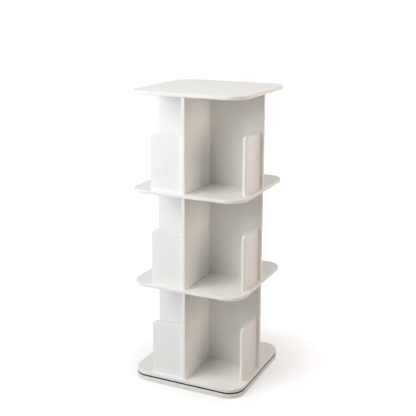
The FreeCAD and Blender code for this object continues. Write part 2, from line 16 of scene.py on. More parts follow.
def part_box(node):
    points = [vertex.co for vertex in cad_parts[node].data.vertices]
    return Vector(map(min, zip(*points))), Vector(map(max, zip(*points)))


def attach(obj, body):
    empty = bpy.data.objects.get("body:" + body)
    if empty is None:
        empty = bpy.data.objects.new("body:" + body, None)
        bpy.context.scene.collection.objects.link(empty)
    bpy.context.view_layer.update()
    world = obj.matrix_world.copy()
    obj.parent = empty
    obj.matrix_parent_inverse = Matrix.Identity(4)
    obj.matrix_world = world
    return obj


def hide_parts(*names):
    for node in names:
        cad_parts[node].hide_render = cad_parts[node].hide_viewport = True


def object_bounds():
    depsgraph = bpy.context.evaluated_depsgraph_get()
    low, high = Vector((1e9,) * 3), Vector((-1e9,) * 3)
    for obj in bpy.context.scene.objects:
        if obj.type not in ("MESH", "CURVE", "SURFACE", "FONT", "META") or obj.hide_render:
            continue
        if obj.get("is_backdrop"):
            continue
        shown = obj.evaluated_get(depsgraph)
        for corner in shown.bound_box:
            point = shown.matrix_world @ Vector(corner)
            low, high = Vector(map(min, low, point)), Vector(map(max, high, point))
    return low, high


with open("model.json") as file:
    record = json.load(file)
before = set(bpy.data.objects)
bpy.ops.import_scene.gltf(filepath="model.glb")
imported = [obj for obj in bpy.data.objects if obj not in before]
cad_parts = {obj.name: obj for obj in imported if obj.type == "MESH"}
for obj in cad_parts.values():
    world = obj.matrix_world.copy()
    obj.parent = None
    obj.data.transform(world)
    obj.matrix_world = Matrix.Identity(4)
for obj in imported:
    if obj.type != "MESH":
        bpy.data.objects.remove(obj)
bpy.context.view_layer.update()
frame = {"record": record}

MM = 0.001
NODES_OF = frame["record"]["behaviour"]["bodies"]
BODY_OF = {node: body for body, nodes in NODES_OF.items() for node in nodes}

# %% [markdown]
# ## Camera
# The camera stands to the right of the front and a little above the top board, far enough away for
# the uprights to stay nearly parallel. It looks at a point on the axis. A small shift of the lens
# raises the picture, so that the camera needn't tilt further and make the uprights lean.

# %% Camera
CAMERA_TURN = math.radians(25.03)
CAMERA_PITCH = math.radians(14.24)
CAMERA_ROLL = math.radians(0.25)
CAMERA_DISTANCE = 2690.3 * MM
CAMERA_SIDESTEP = -3.8 * MM
CAMERA_TARGET = Vector((0, 0, 625.4 * MM))
FOCAL_LENGTH = 1.9067  # in picture widths
LENS_SHIFT = -0.0288  # in picture widths

back = Vector((
    math.sin(CAMERA_TURN) * math.cos(CAMERA_PITCH),
    -math.cos(CAMERA_TURN) * math.cos(CAMERA_PITCH),
    math.sin(CAMERA_PITCH),
))
right = Vector((math.cos(CAMERA_TURN), math.sin(CAMERA_TURN), 0))
bpy.ops.object.camera_add(location=CAMERA_TARGET + back * CAMERA_DISTANCE + right * CAMERA_SIDESTEP)
camera = bpy.context.object
aim = (-back).to_track_quat("-Z", "Y") @ Quaternion((0, 0, 1), CAMERA_ROLL)
camera.rotation_euler = aim.to_euler()
camera.data.lens = FOCAL_LENGTH * camera.data.sensor_width
camera.data.shift_y = LENS_SHIFT
bpy.context.scene.camera = camera
print(f"lens {camera.data.lens:.1f} mm, camera {camera.location.z:.2f} m above the floor")

# %% [markdown]
# ## Tools for shaping
# Every board starts as a block between two corners of its place in the frame. Its edges are then
# picked by where they lie, and bevelled: a wide bevel turns a corner, a narrow one softens an edge.
# Picking by place keeps the recipe the same for every size of board.

# %% A block, and a way to pick and round its edges
X, Y, Z = range(3)
TINY = 0.01 * MM  # two places that are closer than this count as one


def only(piece):
    """Select one piece alone and make it the active one."""
    bpy.ops.object.select_all(action="DESELECT")
    piece.select_set(True)
    bpy.context.view_layer.objects.active = piece


def block(low, high):
    """A box between two corners, its place in its mesh."""
    bpy.ops.object.select_all(action="DESELECT")
    low, high = Vector(low), Vector(high)
    bpy.ops.mesh.primitive_cube_add(size=1, location=(low + high) / 2)
    bpy.context.object.scale = high - low
    bpy.ops.object.transform_apply()
    return bpy.context.object


def bevel_edges(piece, wanted, width, segments):
    """Round the edges whose two ends pass a test."""
    only(piece)
    bpy.ops.object.mode_set(mode="EDIT")
    bpy.ops.mesh.select_mode(type="EDGE")
    bpy.ops.mesh.select_all(action="DESELECT")
    shape = bmesh.from_edit_mesh(piece.data)
    for edge in shape.edges:
        edge.select_set(wanted(edge.verts[0].co, edge.verts[1].co))
    bmesh.update_edit_mesh(piece.data)
    bpy.ops.mesh.bevel(offset=width, segments=segments, affect="EDGES")
    bpy.ops.object.mode_set(mode="OBJECT")


def is_upright(start, end):
    """Whether an edge stands upright."""
    return abs(start.x - end.x) < TINY and abs(start.y - end.y) < TINY


def lies_at(start, end, axis, *levels):
    """Whether both ends of an edge have one coordinate at one of the levels."""
    return any(abs(start[axis] - level) < TINY and abs(end[axis] - level) < TINY
               for level in levels)


print("tools ready: only, block, bevel_edges, is_upright, lies_at")

# %% [markdown]
# Screws and dowels need holes. A hole is cut with a tapered rod: the same rod with two equal radii
# makes a plain hole, and with a wide end it makes the countersink for a screw's head. All the rods
# of a board are joined, so that one Boolean cuts them together.

# %% A tapered rod, and a cut with several rods
def rod(start, end, radius, end_radius=None, sides=24, turn=0):
    """A round bar from one point to another, both first turned about the bookcase's axis."""
    around = Matrix.Rotation(math.radians(turn), 4, "Z")
    start, end = around @ Vector(start), around @ Vector(end)
    bpy.ops.object.select_all(action="DESELECT")
    bpy.ops.mesh.primitive_cone_add(
        vertices=sides, radius1=radius, radius2=radius if end_radius is None else end_radius,
        depth=(end - start).length, location=(start + end) / 2,
        rotation=(end - start).to_track_quat("Z", "Y").to_euler(),
    )
    bpy.ops.object.transform_apply()
    return bpy.context.object


def join(pieces):
    """Make one object of several."""
    only(pieces[0])
    for piece in pieces:
        piece.select_set(True)
    bpy.ops.object.join()
    return pieces[0]


def cut(piece, cutters):
    """Take the cutters' shape out of a piece."""
    cutter = join(cutters)
    only(piece)
    boolean = piece.modifiers.new("cut", "BOOLEAN")
    boolean.operation = "DIFFERENCE"
    boolean.solver = "EXACT"
    boolean.object = cutter
    bpy.ops.object.modifier_apply(modifier=boolean.name)
    bpy.data.objects.remove(cutter)


print("tools ready: rod, join, cut")

# %% [markdown]
# Rings, screws, dowels and caps are all turned shapes. A lathe makes them: one vertex is pulled
# along the profile, radius by height, and the line is spun round the upright axis. Where the
# profile starts or ends on the axis, the spin leaves many vertices in one place, so they are
# merged, and the faces are turned outward again.

# %% A lathe
def draw_line(points):
    """Pull one vertex from point to point, radius by height, and stay in edit mode."""
    bpy.ops.object.select_all(action="DESELECT")
    bpy.ops.mesh.primitive_plane_add(size=MM)
    bpy.ops.object.mode_set(mode="EDIT")
    bpy.ops.mesh.select_mode(type="VERT")
    bpy.ops.mesh.select_all(action="SELECT")
    bpy.ops.mesh.merge(type="CENTER")
    bpy.ops.transform.translate(value=(points[0][0], 0, points[0][1]))
    for (radius, height), (next_radius, next_height) in zip(points, points[1:]):
        step = (next_radius - radius, 0, next_height - height)
        bpy.ops.mesh.extrude_region_move(TRANSFORM_OT_translate={"value": step})
    return bpy.context.object


def lathe(profile, sides=48):
    """Spin a profile of radius and height pairs round the upright axis through the origin."""
    piece = draw_line(profile)
    bpy.ops.mesh.select_all(action="SELECT")
    bpy.ops.mesh.spin(steps=sides, angle=math.tau, center=(0, 0, 0), axis=(0, 0, 1))
    bpy.ops.mesh.select_all(action="SELECT")
    bpy.ops.mesh.remove_doubles(threshold=TINY / 2)
    bpy.ops.mesh.normals_make_consistent(inside=False)
    bpy.ops.object.mode_set(mode="OBJECT")
    bpy.ops.object.transform_apply()
    return piece


def arc(centre, radius, start, end, steps):
    """Points of a profile on an arc, from one angle to another in degrees."""
    angles = [math.radians(start + (end - start) * step / steps) for step in range(steps + 1)]
    return [(centre[0] + radius * math.cos(a), centre[1] + radius * math.sin(a)) for a in angles]


print("tools ready: draw_line, lathe, arc")

# %% [markdown]
# What repeats is modelled once, as a pattern, and copied to its places. A finished piece has smooth
# rounds and flat flats: the smooth shading stops at sharp edges, and the weighted normals keep the
# large faces flat, so that light slides over the narrow rounds alone.

# %% Copies of a pattern, and the finish of a piece
SMOOTH_MOULDED = 40  # degrees; faces that meet at less flow into each other
SMOOTH_TURNED = 25  # degrees; keeps the small chamfers of turned metal crisp
SMOOTH_BALL = 60  # degrees


def copies(pattern, placements):
    """One piece made of copies of a pattern, each with its own mesh."""
    made = []
    for placement in placements:
        copy = pattern.copy()
        copy.data = pattern.data.copy()
        copy.matrix_world = placement
        bpy.context.scene.collection.objects.link(copy)
        made.append(copy)
    bpy.context.view_layer.update()
    piece = join(made)
    bpy.ops.object.transform_apply()
    return piece


def finish_piece(piece, node, slot, smooth_below=SMOOTH_MOULDED):
    """Smooth the rounds, give the finish of a slot, and stand the piece in for its node."""
    only(piece)
    bpy.ops.object.shade_smooth_by_angle(angle=math.radians(smooth_below))
    piece.modifiers.new("flat_faces", "WEIGHTED_NORMAL").keep_sharp = True
    bpy.ops.object.modifier_apply(modifier="flat_faces")
    piece.name = f"{node}_piece"
    piece.data.materials.clear()
    piece.data.materials.append(FINISHES[slot])
    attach(piece, BODY_OF[node])
    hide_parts(node)


print("tools ready: copies, finish_piece")

# %% [markdown]
# ## Finishes
# A finish is a small tree of nodes. One function adds a node, sets its options and fills its
# sockets, either with a value or with a wire from another node. Colours are written as they look on
# a screen, in hex, and turned to the linear values that the shader works with. The scale of a
# pattern comes from the real size of its grains.

# %% Tools for finishes
COLOUR_A, COLOUR_B, COLOUR_OUT = 6, 7, 2  # the colour sockets of a Mix node, by number


def linear(hex_colour):
    """An sRGB hex colour as linear red, green, blue and alpha."""
    shares = [int(hex_colour[place:place + 2], 16) / 255 for place in (0, 2, 4)]
    return [s / 12.92 if s <= 0.04045 else ((s + 0.055) / 1.055) ** 2.4 for s in shares] + [1]


def grains(size):
    """The texture scale whose grains are as wide as a size in millimetres."""
    return 1000 / size


def add_node(tree, kind, inputs=None, **options):
    """Add a node with its options, and fill its sockets with values or wires."""
    node = tree.nodes.new(kind)
    for option, setting in options.items():
        setattr(node, option, setting)
    for socket, feed in (inputs or {}).items():
        if isinstance(feed, bpy.types.NodeSocket):
            tree.links.new(feed, node.inputs[socket])
        else:
            node.inputs[socket].default_value = feed
    return node


def new_finish(name):
    """A material's empty tree and its output node."""
    material = bpy.data.materials.new(name)
    material.use_nodes = True
    material.node_tree.nodes.clear()
    return material, material.node_tree


def finish_made(slot, material, tree, colour, roughness, normal, **more):
    """Close a finish with its main shader, and keep it for a slot."""
    inputs = {"Base Color": colour, "Roughness": roughness, "Normal": normal}
    inputs.update({name.replace("_", " "): setting for name, setting in more.items()})
    shader = add_node(tree, "ShaderNodeBsdfPrincipled", inputs)
    add_node(tree, "ShaderNodeOutputMaterial", {"Surface": shader.outputs["BSDF"]})
    FINISHES[slot] = material
    print(slot, "->", material.name)


FINISHES = {}
print("tools ready: linear, grains, add_node, new_finish, finish_made")

# %% [markdown]
# Four small functions give the patterns their words: a blotchy noise of a real size, a number or a
# colour that moves between two ends with a pattern, and a skin that rises and falls with it.

# %% Words for patterns
def places(tree):
    """The piece's own coordinates, which are the frame's, in metres."""
    return add_node(tree, "ShaderNodeTexCoord").outputs["Object"]


def noise(tree, place, size, detail=2.0):
    """A soft random pattern with blotches as wide as a size in millimetres."""
    return add_node(tree, "ShaderNodeTexNoise", {
        "Vector": place, "Scale": grains(size), "Detail": detail,
    }).outputs["Fac"]


def between(tree, share, low, high):
    """A number that a pattern moves from one value to another."""
    return add_node(tree, "ShaderNodeMapRange", {
        "Value": share, "From Min": 0.3, "From Max": 0.7, "To Min": low, "To Max": high,
    }).outputs[0]


def blend(tree, share, first, second):
    """A colour between two, each given in hex or as a wire."""
    first, second = (linear(end) if isinstance(end, str) else end for end in (first, second))
    return add_node(tree, "ShaderNodeMix", {
        0: share, COLOUR_A: first, COLOUR_B: second,
    }, data_type="RGBA").outputs[COLOUR_OUT]


def skin(tree, pattern, depth, below=None):
    """A surface that rises with a pattern by a depth in millimetres."""
    inputs = {"Height": pattern, "Strength": 1.0, "Distance": depth * MM}
    if below is not None:
        inputs["Normal"] = below
    return add_node(tree, "ShaderNodeBump", inputs).outputs["Normal"]


def marked(tree, name):
    """A number that a shape's faces carry under a name."""
    return add_node(tree, "ShaderNodeAttribute", attribute_name=name).outputs["Fac"]


print("words ready: places, noise, between, blend, skin, marked")

# %% [markdown]
# ### White satin lacquer on fibreboard
# The boards are medium-density fibreboard, sprayed white and rubbed down between coats. To the eye
# it is an even, slightly warm white with a soft sheen. Sprayed lacquer keeps a faint orange peel
# about two millimetres wide, and a large face is never the same white all over: the coat is a
# little thicker here and there, over some 90 mm. The cut edges drink more lacquer than the faces
# and dry a touch warmer and duller, which a number on the edges' faces tells the finish. A second
# number marks a band inside the gap over the base board, which gets a painted shade: a dark
# brown-grey in place of the white, so that the gap reads as a shadow line.

# %% White satin lacquer
material, tree = new_finish("white_satin_lacquer_on_fibreboard")
place = places(tree)
clouds = noise(tree, place, 90, detail=3.0)
waves = noise(tree, place, 24)
peel = noise(tree, place, 2)
cut_edge = marked(tree, "board_edge")
white = blend(tree, clouds, "F0EFEB", "F5F4F1")
white = blend(tree, cut_edge, white, "F3F0EB")
# Where the gap band is marked, the white gives way to a painted shade, a dark brown-grey.
coat = blend(tree, marked(tree, "painted_gap_shade"), white, "3B3226")
sheen = between(tree, waves, 0.36, 0.44)
sheen = add_node(tree, "ShaderNodeMath", {
    0: cut_edge, 1: 0.08, 2: sheen,
}, operation="MULTIPLY_ADD").outputs[0]
film = skin(tree, peel, 0.010, skin(tree, waves, 0.012))
finish_made("white_board", material, tree, coat, sheen, film, IOR=1.5)

# %% [markdown]
# ### Moulded plastic and rubber
# The caps are white polypropylene with the fine matt grain of their mould. The ball cage is natural
# nylon, a creamy plastic that lets a little light in. The pads are black rubber, dull and slightly
# dusty.

# %% White moulded plastic of the screw caps
material, tree = new_finish("white_moulded_polypropylene")
place = places(tree)
flow = noise(tree, place, 6)
grain = noise(tree, place, 0.35)
finish_made(
    "cap_plastic", material, tree, blend(tree, flow, "F1F0ED", "F6F5F3"),
    between(tree, flow, 0.38, 0.46), skin(tree, grain, 0.006), IOR=1.49,
)

# %% Natural nylon of the ball cage
material, tree = new_finish("natural_nylon")
place = places(tree)
flow = noise(tree, place, 4)
grain = noise(tree, place, 0.3)
finish_made(
    "cage_plastic", material, tree, blend(tree, flow, "E4DDCD", "D8D0BD"),
    between(tree, flow, 0.38, 0.5), skin(tree, grain, 0.004),
    IOR=1.53, Subsurface_Weight=0.3, Subsurface_Scale=0.8 * MM,
)

# %% Black rubber of the pads
material, tree = new_finish("black_rubber")
place = places(tree)
dust = noise(tree, place, 3, detail=4.0)
grain = noise(tree, place, 0.2)
finish_made(
    "pad_rubber", material, tree, blend(tree, dust, "1B1B1C", "2C2B2A"),
    between(tree, dust, 0.7, 0.9), skin(tree, grain, 0.02), IOR=1.52,
)

# %% [markdown]
# ### Metals
# The rings are turned aluminium: the tool leaves fine circles, which here are a noise that changes
# with the distance from the axis alone. The balls are polished bearing steel, nearly a mirror. The
# screws are plated with bright zinc, a cool metal with a faintly cloudy skin.

# %% Turned aluminium of the rings
material, tree = new_finish("turned_aluminium")
place = places(tree)
flat_place = add_node(tree, "ShaderNodeVectorMath", {
    0: place, 1: (1, 1, 0),
}, operation="MULTIPLY").outputs[0]
from_axis = add_node(tree, "ShaderNodeVectorMath", {
    0: flat_place,
}, operation="LENGTH").outputs["Value"]
circles = add_node(tree, "ShaderNodeTexNoise", {
    "W": from_axis, "Scale": grains(0.25), "Detail": 3.0,
}, noise_dimensions="1D").outputs["Fac"]
haze = noise(tree, place, 15)
finish_made(
    "turntable_aluminium", material, tree, blend(tree, haze, "D3D5D8", "C4C7CB"),
    between(tree, haze, 0.28, 0.4), skin(tree, circles, 0.012), Metallic=1.0,
)

# %% Polished steel of the balls
material, tree = new_finish("polished_bearing_steel")
place = places(tree)
wear = noise(tree, place, 2, detail=4.0)
finish_made(
    "bearing_steel", material, tree, blend(tree, wear, "CDCECF", "BFC1C4"),
    between(tree, wear, 0.08, 0.16), skin(tree, wear, 0.001), Metallic=1.0,
)

# %% Bright zinc plate of the screws
material, tree = new_finish("bright_zinc_plate")
place = places(tree)
cloud = noise(tree, place, 1.5, detail=4.0)
grain = noise(tree, place, 0.15)
finish_made(
    "zinc_screws", material, tree, blend(tree, cloud, "CBD0D6", "B4BAC1"),
    between(tree, cloud, 0.24, 0.38), skin(tree, grain, 0.003), Metallic=1.0,
)

# %% [markdown]
# ### Beech
# Beech is a pale pinkish brown with straight, close grain and small dark flecks, a fraction of a
# millimetre wide and a few long. The grain is a noise stretched along the dowel, read from the
# place on the pattern that each dowel carries. A slow noise over the whole bookcase makes one dowel
# a little darker than the next.

# %% Beech of the dowels
material, tree = new_finish("beech")
along = add_node(tree, "ShaderNodeAttribute", attribute_name="grain_place").outputs["Vector"]
stretched = add_node(tree, "ShaderNodeVectorMath", {
    0: along, 1: (1, 1, 0.08),
}, operation="MULTIPLY").outputs[0]
fibres = noise(tree, stretched, 0.4, detail=4.0)
flecks = noise(tree, stretched, 0.18, detail=0.0)
dark_flecks = add_node(tree, "ShaderNodeMapRange", {
    "Value": flecks, "From Min": 0.62, "From Max": 0.72,
}).outputs[0]
tone = noise(tree, places(tree), 60)
wood = blend(tree, fibres, "DDBB93", "C79F73")
wood = blend(tree, dark_flecks, wood, "A3774E")
wood = blend(tree, between(tree, tone, 0, 0.3), wood, "B98C60")
finish_made(
    "beech_dowels", material, tree, wood,
    between(tree, fibres, 0.55, 0.7), skin(tree, fibres, 0.03), IOR=1.5,
)

# %% [markdown]
# ## Boards
# Five square boards: one on the floor, three shelves and the top. Each is a block whose four
# upright edges get a wide bevel, the round corners, and whose rims get a narrow one, so that the
# edge of the board catches a thin line of light. The two boards at the gap also get a band along
# their rim, which carries a painted shade: a dark colour where the gap's shadow lies.

# %% Shape of a board
BOARD_CORNER = 57 * MM
CORNER_STEPS = 20
BOARD_ROUND = 2 * MM
ROUND_STEPS = 4
PAINTED_SHADE_BAND = 28 * MM  # width of the band with the painted shade
BAND_INSIDE = 165 * MM  # nearer to the axis, no face belongs to the band
FACES_GAP = 0.75  # a face of the rim's round that is more level than this turns into the gap


def mark_edges(piece, thin_axis):
    """Tell the lacquer which faces are the board's cut edges."""
    marks = piece.data.attributes.new("board_edge", "FLOAT", "FACE")
    for face, mark in zip(piece.data.polygons, marks.data):
        mark.value = 1 - abs(face.normal[thin_axis])


def rounded_board(node):
    """A board that fills its place, with round corners and softened rims."""
    low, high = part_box(node)
    board = block(low, high)
    bevel_edges(board, is_upright, BOARD_CORNER, CORNER_STEPS)
    bevel_edges(board, lambda a, b: lies_at(a, b, Z, low.z, high.z), BOARD_ROUND, ROUND_STEPS)
    return board


def divide_band(piece, level):
    """Divide a band along the rim off the flat face at a level, for the painted shade."""
    only(piece)
    bpy.ops.object.mode_set(mode="EDIT")
    bpy.ops.mesh.select_mode(type="FACE")
    bpy.ops.mesh.select_all(action="DESELECT")
    shape = bmesh.from_edit_mesh(piece.data)
    for face in shape.faces:
        face.select_set(all(abs(corner.co.z - level) < TINY for corner in face.verts))
    bmesh.update_edit_mesh(piece.data)
    bpy.ops.mesh.inset(thickness=PAINTED_SHADE_BAND, depth=0)
    bpy.ops.object.mode_set(mode="OBJECT")


def mark_painted_shade(piece, level):
    """Mark the faces that get the painted shade: those in the gap, or turning into it at the rim.
    """
    paint = piece.data.attributes.new("painted_gap_shade", "FLOAT", "FACE")
    for face, mark in zip(piece.data.polygons, paint.data):
        in_gap = abs(face.center.z - level) < BOARD_ROUND and abs(face.normal.z) > FACES_GAP
        at_rim = max(abs(face.center.x), abs(face.center.y)) > BAND_INSIDE
        mark.value = 1 if in_gap and at_rim else 0


print("tools ready: mark_edges, rounded_board, divide_band, mark_painted_shade")

# %% [markdown]
# The screws that hold a shelf to the dividers come up from below, two under each divider and one
# under each guard. Their heads sit in countersinks. The boards above a tier also have blind holes
# for the wooden dowels in the dividers' upper edges. The places are worked out from the frame: a
# screw or a dowel stands at a share of the arm's length, and quarter turns give the other arms.

# %% Places of the screws and dowels on the arm along +X
QUARTERS = {"right": 0, "rear": 90, "left": 180, "front": 270}  # degrees from the arm along +X
TIERS = ("lower", "middle", "upper")
DOWEL_SHARES = (0.2, 0.8)  # of an arm's length, from the cross outward
SCREW_SHARES = (0.4, 0.6)  # of an arm's length
HEIGHT_SHARES = (0.25, 0.75)  # of a guard's height, and of a divider's
GUARD_FOOT_SHARE = 0.6  # of a guard's width, from the divider outward

PANEL_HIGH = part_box("lower_long_divider")[1]
ARM_END, HALF_PANEL = PANEL_HIGH.x, PANEL_HIGH.y
GUARD_LOW, GUARD_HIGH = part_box("lower_right_guard")
GUARD_MIDDLE = (GUARD_LOW.x + GUARD_HIGH.x) / 2
GUARD_FOOT = GUARD_HIGH.y + GUARD_FOOT_SHARE * (GUARD_LOW.y - GUARD_HIGH.y)


def stations(shares):
    """Distances from the axis to places between the cross and the arm's end."""
    return [HALF_PANEL + share * (ARM_END - HALF_PANEL) for share in shares]


FLOOR_SCREWS = [(x, 0) for x in stations(SCREW_SHARES)] + [(GUARD_MIDDLE, GUARD_FOOT)]
TOP_DOWELS = stations(DOWEL_SHARES)
GUARD_SCREW_HEIGHTS = [share * (GUARD_HIGH.z - GUARD_LOW.z) for share in HEIGHT_SHARES]
CROSS_HEIGHTS = [share * (PANEL_HIGH.z - GUARD_LOW.z) for share in HEIGHT_SHARES]
print("floor screws at", [f"{x / MM:.1f}, {y / MM:.1f}" for x, y in FLOOR_SCREWS])

# %% Holes in the boards
SCREW_HOLE = 2.1 * MM  # radius
SINK = 4 * MM  # radius of a countersink at the face
SINK_DEPTH = 2 * MM
DOWEL_HOLE = 3.1 * MM  # radius
BEYOND = 0.5 * MM  # a cutter reaches past the face that it cuts
END_GAP = 0.5 * MM  # a blind hole reaches past its screw or dowel
SCREW_BITE = 28 * MM  # how deep a floor screw goes into a divider or a guard
RING_SCREW_BITE = 7 * MM
DOWEL_IN_BOARD = 8 * MM
DOWEL_IN_PANEL = 22 * MM


def sunk_hole(face, inward, depth, turn=0):
    """Rods for a screw hole with a countersink, from a point on a face inward."""
    face, inward = Vector(face), Vector(inward)
    outside = face - inward * BEYOND
    return [
        rod(outside, face + inward * depth, SCREW_HOLE, turn=turn),
        rod(outside, face + inward * SINK_DEPTH, SINK + BEYOND, SCREW_HOLE, turn=turn),
    ]


def floor_screw_holes(low, high):
    """Rods for the screws that come up through a shelf."""
    return [
        hole for turn in QUARTERS.values() for x, y in FLOOR_SCREWS
        for hole in sunk_hole((x, y, low), (0, 0, 1), high - low + BEYOND, turn)
    ]


def dowel_holes(low):
    """Rods for the dowels that end in the underside of a board."""
    top = low + DOWEL_IN_BOARD + END_GAP
    return [rod((x, 0, low - BEYOND), (x, 0, top), DOWEL_HOLE, turn=turn)
            for turn in QUARTERS.values() for x in TOP_DOWELS]


print("tools ready: sunk_hole, floor_screw_holes, dowel_holes")

# %% [markdown]
# The base board has a round recess for the turntable, holes for the screws of the outer ring, and
# one hole right through, for the screwdriver that reaches the screws of the inner ring.

# %% Base board
RECESS_DEPTH = 6 * MM
RECESS_RADIUS = 125.5 * MM
RECESS_SIDES = 128
BASE_SCREW_CIRCLE = 119 * MM
SHELF_SCREW_CIRCLE = 101 * MM
SHELF_SCREW_ANGLE = 45  # degrees from the arms, so that no screw meets a floor screw
ACCESS_RADIUS = 9 * MM
ACCESS_SIDES = 48

low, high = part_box("base_board")
base_board = rounded_board("base_board")
divide_band(base_board, high.z)
recess_floor = high.z - RECESS_DEPTH
holes = [
    rod((0, 0, recess_floor), (0, 0, high.z + BEYOND), RECESS_RADIUS, sides=RECESS_SIDES),
    rod((SHELF_SCREW_CIRCLE, 0, low.z - BEYOND), (SHELF_SCREW_CIRCLE, 0, high.z), ACCESS_RADIUS,
        sides=ACCESS_SIDES, turn=SHELF_SCREW_ANGLE),
]
for turn in QUARTERS.values():
    holes.append(rod(
        (BASE_SCREW_CIRCLE, 0, recess_floor - RING_SCREW_BITE - END_GAP),
        (BASE_SCREW_CIRCLE, 0, recess_floor + BEYOND), SCREW_HOLE, turn=turn,
    ))
cut(base_board, holes)
mark_edges(base_board, Z)
# The band in the gap gets the painted shade.
mark_painted_shade(base_board, high.z)
finish_piece(base_board, "base_board", "white_board")
print(f"base board: {len(base_board.data.polygons)} faces")

# %% [markdown]
# The shelves and the top board have the same outline and differ in their holes alone, so one loop
# makes them all: floor screws under each tier, dowels over each tier, and the turntable's screws
# under the lower shelf. The holes come after the bevels, while the edges can still be picked by
# their places.

# %% Shelves and top board
for node in ("lower_shelf", "middle_shelf", "upper_shelf", "top_board"):
    low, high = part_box(node)
    board = rounded_board(node)
    holes = []
    if node != "top_board":
        holes += floor_screw_holes(low.z, high.z)
    if node != "lower_shelf":
        holes += dowel_holes(low.z)
    else:
        divide_band(board, low.z)
        x, top = SHELF_SCREW_CIRCLE, low.z + RING_SCREW_BITE + END_GAP
        for turn in QUARTERS.values():
            holes.append(rod((x, 0, low.z - BEYOND), (x, 0, top), SCREW_HOLE,
                             turn=SHELF_SCREW_ANGLE + turn))
    cut(board, holes)
    mark_edges(board, Z)
    # The band under the lower shelf gets the painted shade.
    if node == "lower_shelf":
        mark_painted_shade(board, low.z)
    finish_piece(board, node, "white_board")
    print(f"{node}: {len(board.data.polygons)} faces")

# %% [markdown]
# ## Dividers and guards
# On each shelf stand one long divider and two half dividers, which butt against it and make a
# cross. A guard stands across the outer end of each compartment. A divider is a plain panel: a
# block whose upright edges at the free ends are rounded by a bevel, as a router would do it. The
# edges that meet another board are only broken a little, so that the joint shows as a fine line
# and not as one cast with its neighbour.

# %% Shape of a divider
DIVIDER_ROUND = 2.5 * MM
ARRIS = 0.3 * MM  # how far the sharp edges at the joints are broken
CROSS_BITE = 14 * MM  # how deep a cross dowel goes into a half divider


def soften_ends(piece, axis, *levels):
    """Break the sharp edges round the faces at some levels: the joints then show as fine lines."""
    bevel_edges(piece, lambda a, b: lies_at(a, b, axis, *levels), ARRIS, 1)


def cross_dowel_holes(floor_height, arms):
    """Rods through the long divider's middle, or into a half divider's inner end."""
    reach = HALF_PANEL + CROSS_BITE + END_GAP
    rods = []
    for height in CROSS_HEIGHTS:
        level = floor_height + height
        if arms == 2:
            ends = (0, -HALF_PANEL - BEYOND, level), (0, HALF_PANEL + BEYOND, level)
        else:
            ends = (HALF_PANEL - BEYOND, 0, level), (reach, 0, level)
        rods.append(rod(*ends, DOWEL_HOLE))
    return rods


def arm_holes(floor_height, ceiling, turn):
    """Rods for one arm of a divider: floor screws, top dowels and guard screws."""
    bottom, screw_top = floor_height - BEYOND, floor_height + SCREW_BITE + END_GAP
    rods = [rod((x, 0, bottom), (x, 0, screw_top), SCREW_HOLE, turn=turn)
            for x in stations(SCREW_SHARES)]
    dowel_foot, top = ceiling - DOWEL_IN_PANEL - END_GAP, ceiling + BEYOND
    rods += [rod((x, 0, dowel_foot), (x, 0, top), DOWEL_HOLE, turn=turn) for x in TOP_DOWELS]
    for height in GUARD_SCREW_HEIGHTS:
        face = (GUARD_MIDDLE, HALF_PANEL, floor_height + height)
        rods += sunk_hole(face, (0, -1, 0), 2 * HALF_PANEL + BEYOND, turn)
    return rods


def divider(tier, arms):
    """A divider along +X, from the cross or from the far end."""
    low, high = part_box(f"{tier}_long_divider")
    start = low.x if arms == 2 else HALF_PANEL
    piece = block((start, low.y, low.z), high)
    free_ends = (low.x, high.x) if arms == 2 else (high.x,)
    bevel_edges(
        piece, lambda a, b: is_upright(a, b) and lies_at(a, b, X, *free_ends),
        DIVIDER_ROUND, ROUND_STEPS,
    )
    soften_ends(piece, Z, low.z, high.z)
    if arms == 1:
        soften_ends(piece, X, start)
    holes = cross_dowel_holes(low.z, arms)
    for turn in (0, 180)[:arms]:
        holes += arm_holes(low.z, high.z, turn)
    cut(piece, holes)
    mark_edges(piece, Y)
    return piece


print("divider ready")

# %% [markdown]
# A guard is a small board on edge. Its free top corner is round, so that a hand or a book slides
# past it, and its two free sides are softened. The foot and the side against the divider stay
# square. The corner is bevelled first, so that the softening then runs round it in one line.

# %% Shape of a guard
GUARD_CORNER = 16 * MM
GUARD_CORNER_STEPS = 12
GUARD_ROUND = 4 * MM
GUARD_ROUND_STEPS = 6
GUARD_SCREW_BITE = 23 * MM  # how deep a screw goes into a guard's edge


def guard(tier):
    """The guard on the arm along +X."""
    low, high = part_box(f"{tier}_right_guard")
    piece = block(low, high)
    bevel_edges(
        piece, lambda a, b: lies_at(a, b, Y, low.y) and lies_at(a, b, Z, high.z),
        GUARD_CORNER, GUARD_CORNER_STEPS,
    )
    bevel_edges(
        piece, lambda a, b: lies_at(a, b, X, low.x, high.x)
        and not lies_at(a, b, Z, low.z) and not lies_at(a, b, Y, high.y),
        GUARD_ROUND, GUARD_ROUND_STEPS,
    )
    soften_ends(piece, Z, low.z)
    soften_ends(piece, Y, high.y)
    bottom, top = low.z - BEYOND, low.z + SCREW_BITE + END_GAP
    holes = [rod((GUARD_MIDDLE, GUARD_FOOT, bottom), (GUARD_MIDDLE, GUARD_FOOT, top), SCREW_HOLE)]
    deep, outside = high.y - GUARD_SCREW_BITE - END_GAP, high.y + BEYOND
    for height in GUARD_SCREW_HEIGHTS:
        level = low.z + height
        holes.append(rod((GUARD_MIDDLE, deep, level), (GUARD_MIDDLE, outside, level), SCREW_HOLE))
    cut(piece, holes)
    mark_edges(piece, X)
    return piece


print("guard ready")

# %% [markdown]
# Each tier gets the same pieces. The half divider and the guard are made once, on the arm along +X,
# and quarter turns about the axis put their copies in place.

